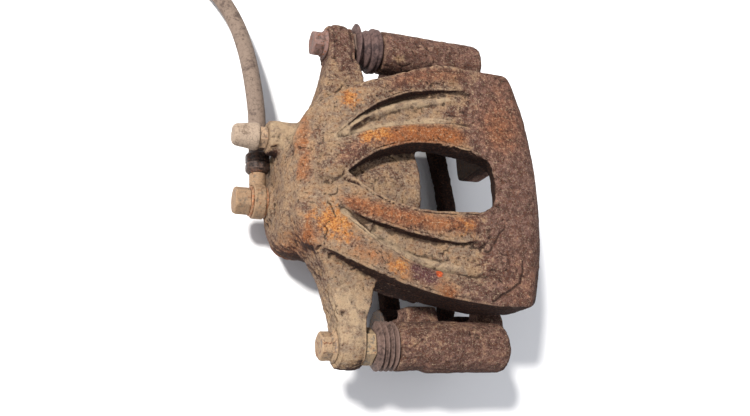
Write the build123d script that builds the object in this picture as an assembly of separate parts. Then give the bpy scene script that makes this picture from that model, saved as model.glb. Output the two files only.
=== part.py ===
"""Floating brake caliper on its carrier, with the flexible brake hose. Millimetres.

The origin is midway between the two knuckle bolt holes, on the carrier's mounting
face. +X points outboard along the wheel axis, +Z radially outward from the wheel
axis and +Y along the disc's edge. The caliper rests on FLOOR_Z when it lies with the
bridge on top.
"""
from build123d import *
import math
import os

os.makedirs("parts", exist_ok=True)

# carrier
FLOOR_Z = -13.0
PIN_Y = 85.3
PIN_Z = 50.4
TUBE_R = 12.4
TUBE_MOUTH_X = -11.8
TUBE_END_X = 52.7
TUBE_END_FILLET = 4.5
BOX_TUBE_R = 13.2
BOX_TUBE_X = 5.0
LUG_Y = 70.0
LUG_R = 13.0
LUG_THREAD_R = 5.1
INNER_LEG_X = (0.0, 18.0)
OUTER_LEG_X = (44.5, 58.3)
ABUTMENT_Y = 62.5
YOKE_X = (7.0, 18.0)
YOKE_H = 9.0
TIE_BAR_H = 10.0
TIE_BAR_CENTRE_X = -183.5
TIE_BAR_R = (235.5, 245.0)

# disc space
DISC_AXIS_Z = -89.0
ARCH_R = 153.5

# housing
CYL_Z = 30.0
CYL_R = 36.0
CYL_BACK_X = -69.5
CYL_MOUTH_X = 3.6
BORE_R = 28.5
BORE_END_X = -55.0
BRIDGE_TOP_Z = 79.0
BRIDGE_TOP_R = 1200.0
BRIDGE_HALF_Y = 68.0
BRIDGE_SIDE_Z = 47.0
FINGER_X = (60.3, 76.5)
FINGER_Y = (27.0, 60.0)
FINGER_TIP_Z = 3.0
FINGER_GAP_TOP_Z = 47.0
SHOULDER_R = 18.0
END_FACE_R = 235.0
VALLEY_DEPTH = 6.5
VALLEY_RAMP_X = (9.0, 39.0)
VALLEY_INNER_Y = {1: (28.8, 33.0), -1: (31.6, 34.5)}
WINDOW_END_X = 42.0
EAR_X = (-44.0, -30.0)
EAR_R = 12.0

# piston and its seals
PISTON_R = 28.44
PISTON_X = (-49.0, 5.5)
PISTON_CUP_R = 22.5
PISTON_CUP_X = -38.0
BOOT_SEAT_R = 33.0
BOOT_SEAT_X = -3.0
SEAL_X = (-12.4, -9.2)
SEAL_GROOVE_R = 31.5

# guide pins and bolts
PIN_R = 6.0
PIN_BORE_R = 6.05
PIN_BORE_END_X = 52.0
PIN_END_X = 36.0
COLLAR_X = (-30.0, -24.0)
COLLAR_FLATS = 17.0
NECK_R = 7.5
NECK_END_X = -21.0
BUSH_X = (16.0, 33.0)
BUSH_CORE_R = 4.8
BOLT_FLATS = 13.0
BOLT_HEAD_X = (-52.0, -46.0)
BOLT_R = 4.0
BOLT_END_X = -14.0

# hydraulic connections on the cylinder's back
BANJO_Y, BANJO_Z = -3.0, 23.5
BANJO_FACE_X = -72.0
WASHER_T = 1.5
EYE_T = 6.5
BANJO_HEAD_T = 8.5
BLEED_Y, BLEED_Z = 28.0, 41.5
BLEED_FACE_X = -76.0

# hose
HOSE_R = 5.0
FERRULE_R = 6.8
FERRULE_Y = (13.0, 26.0)
HOSE_X = BANJO_FACE_X - WASHER_T - EYE_T / 2
HOSE_ROUTE = [
    (HOSE_X, FERRULE_Y[1], BANJO_Z),
    (HOSE_X, 45.0, BANJO_Z),
    (-77.9, 64.0, 20.6),
    (-79.4, 83.0, 15.5),
    (-81.8, 102.0, 9.3),
    (-86.2, 121.0, 3.2),
    (-94.6, 139.4, -1.8),
    (-107.6, 155.4, -5.4),
    (-124.8, 167.4, -7.4),
    (-145.5, 174.5, -7.8),
    (-166.5, 176.5, -7.4),
    (-187.0, 172.5, -5.9),
    (-205.5, 163.0, -5.9),
]


def rod(x0, x1, r, y=0.0, z=0.0):
    """Cylinder along X from x0 to x1."""
    return Pos((x0 + x1) / 2, y, z) * Rot(0, 90, 0) * Cylinder(r, x1 - x0)


def rod_y(y0, y1, r, x, z):
    """Cylinder along Y from y0 to y1."""
    return Pos(x, (y0 + y1) / 2, z) * Rot(90, 0, 0) * Cylinder(r, y1 - y0)


def block(x, y, z):
    """Box from three (low, high) pairs."""
    return Pos(sum(x) / 2, sum(y) / 2, sum(z) / 2) * Box(x[1] - x[0], y[1] - y[0], z[1] - z[0])


def hexagon(x0, x1, flats, y, z):
    """Hexagonal prism along X."""
    outline = Plane.YZ.offset(x0) * Pos(y, z) * RegularPolygon(flats / 2, 6, major_radius=False)
    return extrude(outline, amount=x1 - x0)


def turned(profile, y=0.0, z=0.0):
    """Solid of revolution about X from (x, radius) points."""
    return Pos(0, y, z) * revolve(make_face(Polyline(*profile, close=True)), Axis.X)


def across_x(outline, x0, x1):
    """Prism along X from (y, z) points."""
    return extrude(Plane.YZ.offset(x0) * make_face(Polyline(*outline, close=True)), amount=x1 - x0)


def rounded_end(x0, x1, r, y, z, fillet_r):
    """Cylinder along X whose +X end is rounded."""
    body = Rot(0, 90, 0) * Cylinder(r, x1 - x0)
    body = fillet(body.faces().sort_by(Axis.X)[-1].edges(), fillet_r)
    return Pos((x0 + x1) / 2, y, z) * body


def save(node, shape):
    """Write one node."""
    export_step(shape, f"parts/{node}.step")


# --- carrier ------------------------------------------------------------------
def inboard_leg(side):
    """Leg from the knuckle lug up to the guide tube, behind the disc."""
    outline = [(66, -8), (ABUTMENT_Y, 2), (ABUTMENT_Y, 44), (78, 48)]
    outline += [(93, 48), (88, 26), (83, 0), (76, -8)]
    leg = across_x([(side * y, z) for y, z in outline], *INNER_LEG_X)
    return leg + rod(*INNER_LEG_X, LUG_R, side * LUG_Y, 0)


def outboard_leg(side):
    """Leg in front of the disc, from the guide tube to the tie bar."""
    outline = [(58, FLOOR_Z), (ABUTMENT_Y, -2), (ABUTMENT_Y, 44), (78, 48)]
    outline += [(93, 48), (88, 24), (84, -4), (77, FLOOR_Z)]
    return across_x([(side * y, z) for y, z in outline], *OUTER_LEG_X)


def pad_notch(side):
    """Rectangular notch in both legs that guides the ears of a pad."""
    y = sorted((side * (ABUTMENT_Y - 5), side * (ABUTMENT_Y + 4.5)))
    return block((-5, 65), y, (14, 31))


def tie_bar():
    """Bar that bows outboard between the outboard legs, in line with the housing's end face."""
    inner_r, outer_r = TIE_BAR_R
    ring = Cylinder(outer_r, TIE_BAR_H) - Cylinder(inner_r, TIE_BAR_H + 1)
    ring = Pos(TIE_BAR_CENTRE_X, 0, FLOOR_Z + TIE_BAR_H / 2) * ring
    return ring & block((0, 100), (-64, 64), (FLOOR_Z - 1, FLOOR_Z + TIE_BAR_H + 1))


def carrier():
    body = block(YOKE_X, (-66, 66), (FLOOR_Z, FLOOR_Z + YOKE_H)) + tie_bar()
    for side in (1, -1):
        body += inboard_leg(side) + outboard_leg(side)
        body -= pad_notch(side)
        body += rounded_end(TUBE_MOUTH_X, TUBE_END_X, TUBE_R, side * PIN_Y, PIN_Z, TUBE_END_FILLET)
    body += rounded_end(BOX_TUBE_X, TUBE_END_X, BOX_TUBE_R, -PIN_Y - 0.6, PIN_Z, TUBE_END_FILLET)
    for side in (1, -1):
        body -= rod(TUBE_MOUTH_X - 1, PIN_BORE_END_X, PIN_BORE_R, side * PIN_Y, PIN_Z)
        body -= rod(TUBE_MOUTH_X - 1, TUBE_MOUTH_X + 4, NECK_R + 1.5, side * PIN_Y, PIN_Z)
        body -= rod(INNER_LEG_X[0] - 1, INNER_LEG_X[1] + 1, LUG_THREAD_R, side * LUG_Y, 0)
    return body


def guide_pin_boot(side):
    """Bellows from the pin's neck to the mouth of the guide tube."""
    lip_x = COLLAR_X[1] + 0.4
    ribs = [(lip_x, NECK_R + 0.1), (lip_x, 10.5)]
    rib_x = lip_x + 2.2
    for rib_r in (13.0, 12.6, 12.2):
        ribs += [(rib_x, rib_r), (rib_x + 1.1, rib_r), (rib_x + 2.0, rib_r - 2.2)]
        rib_x += 2.9
    mouth = TUBE_MOUTH_X - 0.05
    ribs += [(mouth, 11.4), (mouth, NECK_R + 1.3), (mouth + 3.6, NECK_R + 1.3)]
    ribs += [(mouth + 3.6, NECK_R + 0.1)]
    return turned(ribs, side * PIN_Y, PIN_Z)


# --- housing ------------------------------------------------------------------
def bridge_outline():
    """Plan of the bridge: a fan that widens from the cylinder to the fingers."""
    y_out = BRIDGE_HALF_Y
    tip_x = FINGER_X[1] + 5
    edges = Line((-66, -22), (-66, 22)) + Line((tip_x, 50), (tip_x, -50))
    for side in (1, -1):
        edges += Line((-66, side * 22), (-60, side * 36))
        edges += ThreePointArc((-60, side * 36), (-10, side * 59), (39, side * y_out))
        edges += Line((39, side * y_out), (56, side * y_out))
        edges += ThreePointArc((56, side * y_out), (63.5, side * 65.5), (68, side * 59))
        edges += Line((68, side * 59), (tip_x, side * 50))
    return make_face(edges)


def bridge_side_profile():
    """Side view of the bridge's top: low behind the cylinder, level over the disc."""
    top = BRIDGE_TOP_Z
    edges = Polyline((0, top), (100, top), (100, 0), (-80, 0), (-80, 56), (-50, 73))
    edges += Spline((-50, 73), (-30, 77.6), (0, top), tangents=((1, 0.4), (1, 0)))
    return extrude(Plane.XZ.offset(-100) * make_face(edges), amount=200)


def outboard_end():
    """Turned about an upright axis: the curved outboard end with its round shoulder."""
    x_out, top = FINGER_X[1], BRIDGE_TOP_Z
    centre_x = x_out - END_FACE_R
    knee = (x_out, top - SHOULDER_R)
    edges = Polyline((x_out - SHOULDER_R, top), (centre_x, top), (centre_x, -20), (x_out, -20), knee)
    edges += RadiusArc((x_out - SHOULDER_R, top), knee, SHOULDER_R)
    return revolve(Plane.XZ * make_face(edges), Axis((centre_x, 0, 0), (0, 0, 1)))


def top_arc(depth):
    """Everything below the bridge's shallow arched top, lowered by depth."""
    return rod(-90, 90, BRIDGE_TOP_R, 0, BRIDGE_TOP_Z - BRIDGE_TOP_R - depth)


def window():
    """Inspection window between the two middle ribs, its outboard end drafted outward."""
    edges = ThreePointArc((-42, 0), (-20, 14.0), (12, 19.0)) + Line((12, 19.0), (26, 17.0))
    edges += ThreePointArc((26, 17.0), (38, 11.6), (WINDOW_END_X, 0))
    edges += ThreePointArc((WINDOW_END_X, 0), (40.6, -11.0), (33, -17.6)) + Line((33, -17.6), (12, -18.4))
    edges += ThreePointArc((12, -18.4), (-20, -14.0), (-42, 0))
    opening = extrude(Pos(0, 0, 20) * make_face(edges), amount=80)
    end = Pos(WINDOW_END_X - 13, -1, BRIDGE_TOP_Z) * RectangleRounded(24, 31, 9)
    draft = extrude(end, amount=40, dir=(0.38, 0, -0.92))
    return opening + draft


def valley(side):
    """Leaf-shaped hollow between an outer and a middle rib."""
    middle_y, end_y = VALLEY_INNER_Y[side]
    tip, inner, outer = (-50, side * 16), (33, side * end_y), (31, side * 53)
    edges = ThreePointArc(tip, (-9, side * middle_y), inner)
    edges += ThreePointArc(inner, (39, side * 44), outer) + ThreePointArc(outer, (-8, side * 46.8), tip)
    hollow = extrude(Pos(0, 0, 50) * make_face(edges), amount=50)
    x0, x1 = VALLEY_RAMP_X
    slope = math.degrees(math.atan2(VALLEY_DEPTH - 0.6, x1 - x0))
    ramp = Rot(0, -slope, 0) * Pos(0, 0, -BRIDGE_TOP_R) * Rot(0, 90, 0) * Cylinder(BRIDGE_TOP_R, 200)
    return hollow - top_arc(VALLEY_DEPTH) - Pos(x0, 0, BRIDGE_TOP_Z - VALLEY_DEPTH) * ramp


def finger_profile():
    """Front view of the two fingers with the round-topped gap between them."""
    y0, y1 = FINGER_Y
    plate = block(FINGER_X, (-y1, y1), (FINGER_TIP_Z, BRIDGE_SIDE_Z + 10))
    gap = block((FINGER_X[0] - 1, FINGER_X[1] + 1), (-y0, y0), (-20, FINGER_GAP_TOP_Z))
    plate = fillet(plate.edges().filter_by(Axis.X).sort_by(Axis.Z)[:2], 9)
    gap = fillet(gap.edges().filter_by(Axis.X).sort_by(Axis.Z)[-2:], 13)
    fingers = plate - gap
    corners = fingers.edges().filter_by(Axis.X).filter_by_position(Axis.Y, -y0 - 1, y0 + 1)
    return fillet(corners.filter_by_position(Axis.Z, FINGER_TIP_Z - 1, FINGER_TIP_Z + 1), 5)


def ear(side):
    """Arm from the cylinder out to a guide pin: its plan crossed with its front view."""
    x0, x1 = EAR_X
    plan = [(-63, 26), (-55, 42), (-50, 52), (-47.5, 62), (x0, 76), (x0, 98), (x1, 98), (x1, 74.5)]
    plan += [(-27, 65), (-24, 52), (-23, 26)]
    front = [(26, 68), (60, 63.5), (PIN_Y, PIN_Z + EAR_R), (PIN_Y, PIN_Z - EAR_R)]
    front += [(68, 42), (40, 40), (26, 32)]
    flat = [(x, side * y) for x, y in plan]
    arm = extrude(make_face(Polyline(*flat, close=True)), amount=90)
    shape = across_x([(side * y, z) for y, z in front], -80, 0)
    shape += rod(-80, 0, EAR_R, side * PIN_Y, PIN_Z)
    return arm & shape


def housing_cylinder():
    """Hydraulic cylinder with its bleed and banjo bosses, still without the bore."""
    body = Rot(0, -90, 0) * Cylinder(CYL_R, CYL_MOUTH_X - CYL_BACK_X)
    body = fillet(body.faces().sort_by(Axis.X)[0].edges(), 14)
    body = Pos((CYL_MOUTH_X + CYL_BACK_X) / 2, 0, CYL_Z) * body
    body += rod(BLEED_FACE_X, -45, 9.5, BLEED_Y, BLEED_Z)
    return body + rod(BANJO_FACE_X, -60, 10.5, BANJO_Y - 1, BANJO_Z)


def housing():
    slab = extrude(Pos(0, 0, FINGER_TIP_Z) * bridge_outline(), amount=90)
    slab -= block((-100, CYL_MOUTH_X), (-100, 100), (-50, BRIDGE_SIDE_Z))
    slab -= block((FINGER_X[0], 100), (-100, 100), (-50, BRIDGE_SIDE_Z + 2))
    slab -= rod(CYL_MOUTH_X, FINGER_X[0], ARCH_R, 0, DISC_AXIS_Z)
    slab += finger_profile()
    slab = slab & bridge_side_profile() & top_arc(0) & outboard_end()
    body = slab - window() - valley(1) - valley(-1)
    body += housing_cylinder() + ear(1) + ear(-1)
    body -= rod(BORE_END_X, CYL_MOUTH_X + 2, BORE_R, 0, CYL_Z)
    body -= rod(SEAL_X[0], SEAL_X[1], SEAL_GROOVE_R, 0, CYL_Z)
    body -= rod(BOOT_SEAT_X, CYL_MOUTH_X + 2, BOOT_SEAT_R, 0, CYL_Z)
    for side in (1, -1):
        body -= rod(EAR_X[0] - 1, EAR_X[1] + 1, BOLT_R + 0.3, side * PIN_Y, PIN_Z)
    body -= rod(BANJO_FACE_X - 1, -58, 5.05, BANJO_Y, BANJO_Z)
    body -= rod(-60, BORE_END_X + 1, 2.0, BANJO_Y, BANJO_Z)
    body -= rod(BLEED_FACE_X - 1, -63, 4.06, BLEED_Y, BLEED_Z)
    body -= bleed_passage()
    return body


def bleed_passage():
    """Drilling from the bleed screw's seat down into the top of the bore."""
    start = Vector(-64, BLEED_Y, BLEED_Z)
    to_bore = Vector(-50, 17, 38) - start
    drill = Plane(origin=start, z_dir=to_bore)
    return extrude(drill * Circle(1.6), amount=to_bore.length)


def guide_pin(side):
    """Guide pin: hex collar against the ear, neck for the boot, smooth shank."""
    core_r = BUSH_CORE_R if side < 0 else PIN_R
    shank = [(COLLAR_X[1], 0), (COLLAR_X[1], NECK_R), (NECK_END_X, NECK_R), (NECK_END_X, PIN_R)]
    shank += [(BUSH_X[0], PIN_R), (BUSH_X[0], core_r), (BUSH_X[1], core_r), (BUSH_X[1], PIN_R)]
    shank += [(PIN_END_X - 1.5, PIN_R), (PIN_END_X, PIN_R - 1.5), (PIN_END_X, 0)]
    if side > 0:
        shank = shank[:4] + shank[8:]
    pin = turned(shank) + hexagon(*COLLAR_X, COLLAR_FLATS, 0, 0)
    pin -= rod(COLLAR_X[0] - 1, BOLT_END_X + 2, BOLT_R + 0.05)
    return Pos(0, side * PIN_Y, PIN_Z) * pin


def guide_pin_bush():
    x0, x1 = BUSH_X
    inner = BUSH_CORE_R
    ring = [(x0, inner), (x0, PIN_R - 0.3), (x0 + 1, PIN_R), (x1 - 1, PIN_R), (x1, PIN_R - 0.3), (x1, inner)]
    return turned(ring, -PIN_Y, PIN_Z)


def guide_bolt(side):
    """Flanged hex bolt through the ear into the pin."""
    x0, x1 = BOLT_HEAD_X
    body = hexagon(x0, x1, BOLT_FLATS, 0, 0) & turned([(x0, 0), (x0, 6.6), (x0 + 1, 7.6), (x1, 7.6), (x1, 0)])
    body += turned([(x1, 0), (x1, 7.4), (EAR_X[0] - 0.8, 8.4), (EAR_X[0], 8.4), (EAR_X[0], 0)])
    body += rod(EAR_X[0], BOLT_END_X, BOLT_R)
    return Pos(0, side * PIN_Y, PIN_Z) * body


# --- piston -------------------------------------------------------------------
def piston():
    """Hollow steel cup, open towards the pad, with a groove for the dust boot."""
    x0, x1 = PISTON_X
    profile = [(x0, 0), (x0, PISTON_R - 1.5), (x0 + 1.5, PISTON_R), (1.0, PISTON_R), (1.0, 26.6)]
    profile += [(3.6, 26.6), (3.6, PISTON_R), (x1 - 0.6, PISTON_R), (x1, PISTON_R - 0.6)]
    profile += [(x1, PISTON_CUP_R), (PISTON_CUP_X, PISTON_CUP_R), (PISTON_CUP_X, 0)]
    return turned(profile, 0, CYL_Z)


def piston_seal():
    x0, x1 = SEAL_X
    ring = [(x0 + 0.1, PISTON_R + 0.03), (x0 + 0.1, SEAL_GROOVE_R - 0.05)]
    ring += [(x1 - 0.1, SEAL_GROOVE_R - 0.05), (x1 - 0.1, PISTON_R + 0.03)]
    return turned(ring, 0, CYL_Z)


def piston_dust_boot():
    """Folded bellows from the cylinder mouth to the piston's groove."""
    r = BOOT_SEAT_R - 0.05
    fold = [(1.2, 26.8), (3.4, 26.8), (3.4, 29.0), (-0.6, 29.5), (-0.6, 30.1), (1.6, 30.7)]
    fold += [(1.6, r), (BOOT_SEAT_X + 0.1, r), (BOOT_SEAT_X + 0.1, 28.9), (1.2, 28.7)]
    return turned(fold, 0, CYL_Z)


def dust_boot_ring():
    """Steel ring that holds the dust boot's outer bead in the cylinder mouth."""
    r = BOOT_SEAT_R - 0.02
    x0, x1 = 1.65, CYL_MOUTH_X - 0.2
    return turned([(x0, r - 1.4), (x0, r), (x1, r), (x1, r - 1.4)], 0, CYL_Z)


# --- hydraulic connections ----------------------------------------------------
def banjo_washer(x0):
    ring = rod(x0, x0 + WASHER_T, 8.4, BANJO_Y, BANJO_Z)
    return ring - rod(x0 - 1, x0 + WASHER_T + 1, 5.2, BANJO_Y, BANJO_Z)


def banjo_fitting():
    """Eye round the banjo bolt, neck, and the nipple inside the crimped ferrule."""
    x1 = BANJO_FACE_X - WASHER_T
    x0 = x1 - EYE_T
    body = rod(x0, x1, 9.6, BANJO_Y, BANJO_Z) + rod_y(BANJO_Y, FERRULE_Y[0], 3.2, HOSE_X, BANJO_Z)
    body += rod_y(BANJO_Y + 8.7, FERRULE_Y[0], 4.6, HOSE_X, BANJO_Z)
    body += rod_y(FERRULE_Y[0], FERRULE_Y[1] - 2, 2.2, HOSE_X, BANJO_Z)
    body -= rod(x0 - 1, x1 + 1, 5.4, BANJO_Y, BANJO_Z)
    return body - rod_y(BANJO_Y, FERRULE_Y[1], 1.3, HOSE_X, BANJO_Z)


def banjo_bolt():
    """Hex bolt, drilled along its axis and across under the eye."""
    seat = BANJO_FACE_X - 2 * WASHER_T - EYE_T
    x0 = seat - BANJO_HEAD_T
    body = hexagon(x0, seat, 14.0, BANJO_Y, BANJO_Z)
    cone = [(x0, 0), (x0, 7.0), (x0 + 1.2, 8.1), (seat, 8.1), (seat, 0)]
    body = body & turned(cone, BANJO_Y, BANJO_Z)
    body += rod(seat, -59, 5.0, BANJO_Y, BANJO_Z)
    body -= rod(seat + 3, -58, 1.8, BANJO_Y, BANJO_Z)
    return body - rod_y(BANJO_Y - 6, BANJO_Y + 6, 1.3, HOSE_X, BANJO_Z)


def bleed_screw():
    """Hollow screw with a hex and a barbed nipple."""
    seat = BLEED_FACE_X
    body = hexagon(seat - 4.5, seat, 11.0, BLEED_Y, BLEED_Z)
    nipple = [(seat - 16, 0), (seat - 16, 2.4), (seat - 13, 3.6), (seat - 11.5, 3.6), (seat - 11.5, 2.8)]
    nipple += [(seat - 4.5, 2.8), (seat - 4.5, 0)]
    body += turned(nipple, BLEED_Y, BLEED_Z)
    tail = [(seat, 0), (seat, 4.0), (-66.5, 4.0), (-64, 1.8), (-64, 0)]
    body += turned(tail, BLEED_Y, BLEED_Z)
    body -= rod(seat - 17, -68, 1.1, BLEED_Y, BLEED_Z)
    return body - rod_y(BLEED_Y - 5, BLEED_Y + 5, 0.9, -68.5, BLEED_Z)


def bleed_screw_cap():
    """Tapered rubber cap, hollow for the nipple."""
    x1 = BLEED_FACE_X - 4.7
    x0 = -94.5
    cap = [(x0, 0), (x0, 4.6), (x0 + 1.5, 5.9), (x1 - 1.5, 7.6), (x1, 7.2), (x1, 3.9)]
    cap += [(x0 + 1.6, 3.9), (x0 + 1.6, 0)]
    return turned(cap, BLEED_Y, BLEED_Z)


def hose_ferrule():
    """Crimped steel shell over the hose's end, both ends chamfered."""
    y0, y1 = FERRULE_Y
    shell = rod_y(y0, y1, FERRULE_R, HOSE_X, BANJO_Z)
    shell = chamfer(shell.edges().filter_by(GeomType.CIRCLE), 2.0)
    return shell - rod_y(y0 - 1, y1 + 1, 2.25, HOSE_X, BANJO_Z)


def corner_radii(route):
    """The largest radius each corner of the route leaves room for."""
    points = [Vector(*p) for p in route]
    radii = []
    for a, b, c in zip(points, points[1:], points[2:]):
        half_turn = math.radians((b - a).get_angle(c - b)) / 2
        radii.append(0.45 * min((b - a).length, (c - b).length) / math.tan(half_turn))
    return radii


def brake_hose():
    """Rubber hose that comes down from the banjo fitting and lies in an open curve."""
    radii = corner_radii(HOSE_ROUTE)
    path = FilletPolyline(*HOSE_ROUTE, radius=radii)
    start = Plane(origin=path @ 0, z_dir=path % 0)
    tube = sweep(start * Circle(HOSE_R), path=path)
    print("hose radii", [round(r, 1) for r in radii])
    print("hose length", round(path.length, 1))
    print("volume over section x length", round(tube.volume / (math.pi * HOSE_R**2 * path.length), 4))
    return tube


def hose_end_plane(distance):
    """Plane across the hose's far end, a given distance beyond it."""
    last = Vector(*HOSE_ROUTE[-1])
    along = (last - Vector(*HOSE_ROUTE[-2])).normalized()
    return Plane(origin=last + along * distance, x_dir=(0, 0, 1), z_dir=along)


def hose_end_ferrule():
    shell = hose_end_plane(0) * Pos(0, 0, 8) * Cylinder(FERRULE_R, 16)
    return chamfer(shell.edges().filter_by(GeomType.CIRCLE), 1.6)


def hose_end_fitting():
    """Hex end with a bracket groove and the threaded port for the brake pipe."""
    outline = RegularPolygon(7.0, 6, major_radius=False, rotation=30)
    hex_part = extrude(hose_end_plane(16) * outline, amount=9)
    body = hex_part + extrude(hose_end_plane(25) * Circle(5.6), amount=2.5)
    body += extrude(hose_end_plane(27.5) * Circle(6.8), amount=8.5)
    body -= extrude(hose_end_plane(24) * Circle(4.6), amount=13)
    return body - extrude(hose_end_plane(17) * Circle(1.5), amount=8)


save("carrier_bracket", carrier())
save("caliper_housing", housing())
for name, side in (("upper", 1), ("lower", -1)):
    save(f"guide_pin_{name}", guide_pin(side))
    save(f"guide_pin_boot_{name}", guide_pin_boot(side))
    save(f"guide_bolt_{name}", guide_bolt(side))
save("guide_pin_bush", guide_pin_bush())
save("piston", piston())
save("piston_seal", piston_seal())
save("piston_dust_boot", piston_dust_boot())
save("dust_boot_ring", dust_boot_ring())
save("banjo_fitting", banjo_fitting())
save("banjo_bolt", banjo_bolt())
save("banjo_washer_inner", banjo_washer(BANJO_FACE_X - WASHER_T))
save("banjo_washer_outer", banjo_washer(BANJO_FACE_X - 2 * WASHER_T - EYE_T))
save("bleed_screw", bleed_screw())
save("bleed_screw_cap", bleed_screw_cap())
save("hose_ferrule", hose_ferrule())
save("brake_hose", brake_hose())
save("hose_end_ferrule", hose_end_ferrule())
save("hose_end_fitting", hose_end_fitting())
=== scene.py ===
import math

import bmesh
import bpy
import numpy as np
from mathutils import Matrix, Vector


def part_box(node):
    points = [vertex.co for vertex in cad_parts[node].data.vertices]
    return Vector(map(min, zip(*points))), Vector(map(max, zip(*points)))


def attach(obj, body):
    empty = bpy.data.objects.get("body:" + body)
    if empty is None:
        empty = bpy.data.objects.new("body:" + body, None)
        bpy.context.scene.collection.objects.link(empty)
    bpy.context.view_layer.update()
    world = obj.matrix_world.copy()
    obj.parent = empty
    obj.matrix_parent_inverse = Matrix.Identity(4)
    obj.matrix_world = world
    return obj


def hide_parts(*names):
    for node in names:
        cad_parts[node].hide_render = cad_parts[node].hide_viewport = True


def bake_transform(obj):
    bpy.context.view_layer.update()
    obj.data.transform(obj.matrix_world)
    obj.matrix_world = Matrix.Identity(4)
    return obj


MM = 0.001
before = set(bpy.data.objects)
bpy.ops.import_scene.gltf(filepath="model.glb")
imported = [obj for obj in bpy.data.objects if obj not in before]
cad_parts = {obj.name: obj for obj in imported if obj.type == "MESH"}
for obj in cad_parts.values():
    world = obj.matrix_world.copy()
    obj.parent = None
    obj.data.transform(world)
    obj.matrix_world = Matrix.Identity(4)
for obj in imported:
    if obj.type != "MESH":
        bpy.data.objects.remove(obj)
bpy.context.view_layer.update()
scene = bpy.context.scene

# Places in the row frame, in millimetres.
FLOOR_Z = -13.0
PIN_Y, PIN_Z = 85.3, 50.4
PIN_BORE_R = 6.05
TUBE_MOUTH_X = -11.8
CYL_Z, BORE_R = 30.0, 28.5
BANJO_Z = 23.5
BLEED_Y = 28.0
HOSE_X = -76.75
HOSE_D = 10.0
LUG_Y = 70.0
CYLINDER_SPAN = (-56, 4.5)
MACHINED_SPAN = (-53, 4.5)
EAR_SPAN = (-45, -29)
TUBE_SPAN = (-13, 52)

# Sizes of the meshes and seeds of the noise.
CASTING_VOXEL = 0.75
STEPS_PER_FOLD = 10
HOUSING_SEED = 3
CARRIER_SEED = 71
RUBBER_ROUGHNESS = 0.78


# --- repeatable noise ---------------------------------------------------------
def lattice(ix, iy, iz, seed):
    """Repeatable number from 0 to 1 for each lattice point."""
    h = (ix * 374761393 + iy * 668265263 + iz * 2147483647 + seed * 1274126177) & 0xFFFFFFFF
    h = ((h ^ (h >> 13)) * 1274126177) & 0xFFFFFFFF
    return ((h ^ (h >> 16)) & 0xFFFFFFFF) / 4294967295.0


def value_noise(p, size, seed=0):
    """Smooth noise from -1 to 1 at points p, with features of the given size."""
    q = p / size
    cell = np.floor(q).astype(np.int64)
    t = q - cell
    t = t * t * (3 - 2 * t)
    total = np.zeros(len(p))
    for dx in (0, 1):
        wx = t[:, 0] if dx else 1 - t[:, 0]
        for dy in (0, 1):
            wy = t[:, 1] if dy else 1 - t[:, 1]
            for dz in (0, 1):
                wz = t[:, 2] if dz else 1 - t[:, 2]
                corner = lattice(cell[:, 0] + dx, cell[:, 1] + dy, cell[:, 2] + dz, seed)
                total += wx * wy * wz * corner
    return total * 2 - 1


def fractal(p, size, octaves=4, seed=0, gain=0.5):
    """Several sizes of value noise added up, from about -1 to 1."""
    total, weight, share = np.zeros(len(p)), 0.0, 1.0
    for i in range(octaves):
        total += share * value_noise(p + 17.3 * i, size / 2.03**i, seed + i)
        weight += share
        share *= gain
    return total / weight


def cell_noise(p, size, seed=0):
    """Distances to the nearest and second nearest scattered point, in cells."""
    q = p / size
    cell = np.floor(q).astype(np.int64)
    first = np.full(len(p), 9.0)
    second = np.full(len(p), 9.0)
    for dx in (-1, 0, 1):
        for dy in (-1, 0, 1):
            for dz in (-1, 0, 1):
                c = cell + np.array((dx, dy, dz))
                point = np.stack([lattice(c[:, 0], c[:, 1], c[:, 2], seed + k) for k in (1, 2, 3)], 1)
                d = np.linalg.norm(c + point - q, axis=1)
                second = np.minimum(second, np.maximum(d, first))
                first = np.minimum(first, d)
    return first, second


def smoothstep(x, low, high):
    t = np.clip((x - low) / (high - low), 0, 1)
    return t * t * (3 - 2 * t)


# --- mesh helpers -------------------------------------------------------------
def link(name, mesh):
    piece = bpy.data.objects.new(name, mesh)
    scene.collection.objects.link(piece)
    return piece


def coordinates(mesh):
    co = np.empty(len(mesh.vertices) * 3)
    mesh.vertices.foreach_get("co", co)
    return co.reshape(-1, 3)


def set_coordinates(mesh, co):
    mesh.vertices.foreach_set("co", co.ravel())
    mesh.update()


def vertex_normals(mesh):
    n = np.empty(len(mesh.vertices) * 3)
    mesh.vertex_normals.foreach_get("vector", n)
    return n.reshape(-1, 3)


def neighbours(mesh):
    """The two ends of every edge, and how many edges each vertex has."""
    e = np.empty(len(mesh.edges) * 2, np.int64)
    mesh.edges.foreach_get("vertices", e)
    a, b = e.reshape(-1, 2).T
    count = np.bincount(np.concatenate([a, b]), minlength=len(mesh.vertices)).astype(float)
    return a, b, np.maximum(count, 1)


def neighbour_mean(values, edges):
    """Mean of each vertex's neighbours, for an array of any width."""
    a, b, count = edges
    cols = values.reshape(len(values), -1)
    out = np.empty_like(cols)
    for k in range(cols.shape[1]):
        total = np.bincount(a, cols[b, k], len(cols)) + np.bincount(b, cols[a, k], len(cols))
        out[:, k] = total / count
    return out.reshape(values.shape)


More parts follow.
